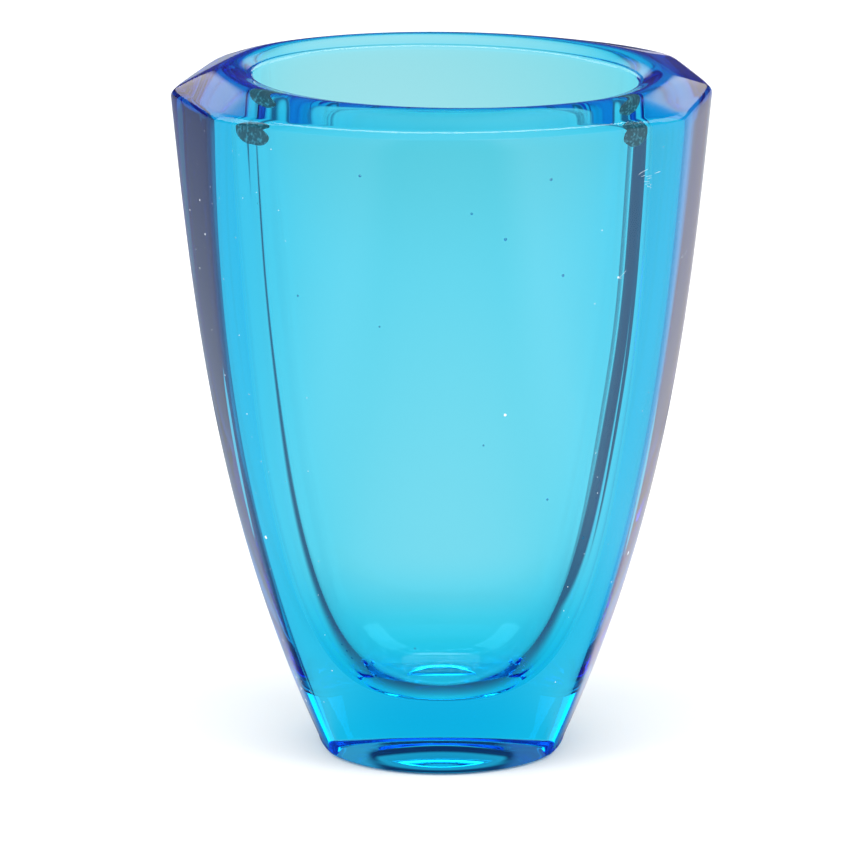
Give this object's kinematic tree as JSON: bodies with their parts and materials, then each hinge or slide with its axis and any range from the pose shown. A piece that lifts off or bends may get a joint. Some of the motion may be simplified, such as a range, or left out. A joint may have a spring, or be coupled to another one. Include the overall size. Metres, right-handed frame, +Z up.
{
  "type": "glass vase",
  "caption": "Heavy clear blue glass vase, an oval plan with narrow cut side faces, flaring from a small foot to a thick ridged rim, with a tapering oval well",
  "frame": {"origin": "centre of the foot where it rests on the table", "axes": "+Z up through the opening, +X across the width to a pointed side, broad faces to -Y and +Y"},
  "size_m": [0.1137, 0.0608, 0.1528],
  "materials": {
    "glass": "fire polished, clear"
  },
  "bodies": {
    "root": {"glass_body": "glass"}
  },
  "joints": []
}
